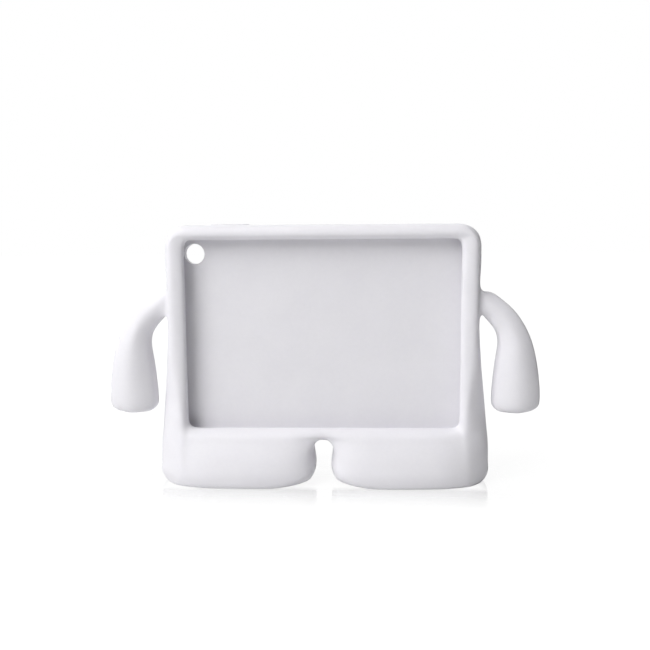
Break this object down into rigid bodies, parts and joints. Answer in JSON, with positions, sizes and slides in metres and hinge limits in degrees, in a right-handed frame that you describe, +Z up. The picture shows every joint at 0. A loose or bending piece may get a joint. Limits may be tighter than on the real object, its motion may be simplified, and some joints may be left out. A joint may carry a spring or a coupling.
{
  "type": "shockproof tablet case",
  "caption": "Moulded foam case for a small tablet: rounded frame with a soft lip, broad feet with a notch between, and arm-shaped side handles.",
  "frame": {"origin": "bottom centre of the case's bounding box, on the plane of the soles", "axes": "+X to the right seen from the front, along the longest side; the opening for the screen faces -Y; +Z up"},
  "size_m": [0.2948, 0.0425, 0.1785],
  "materials": {
    "moulded_foam": "satin"
  },
  "bodies": {
    "root": {"foam_case": "moulded_foam"}
  },
  "joints": []
}
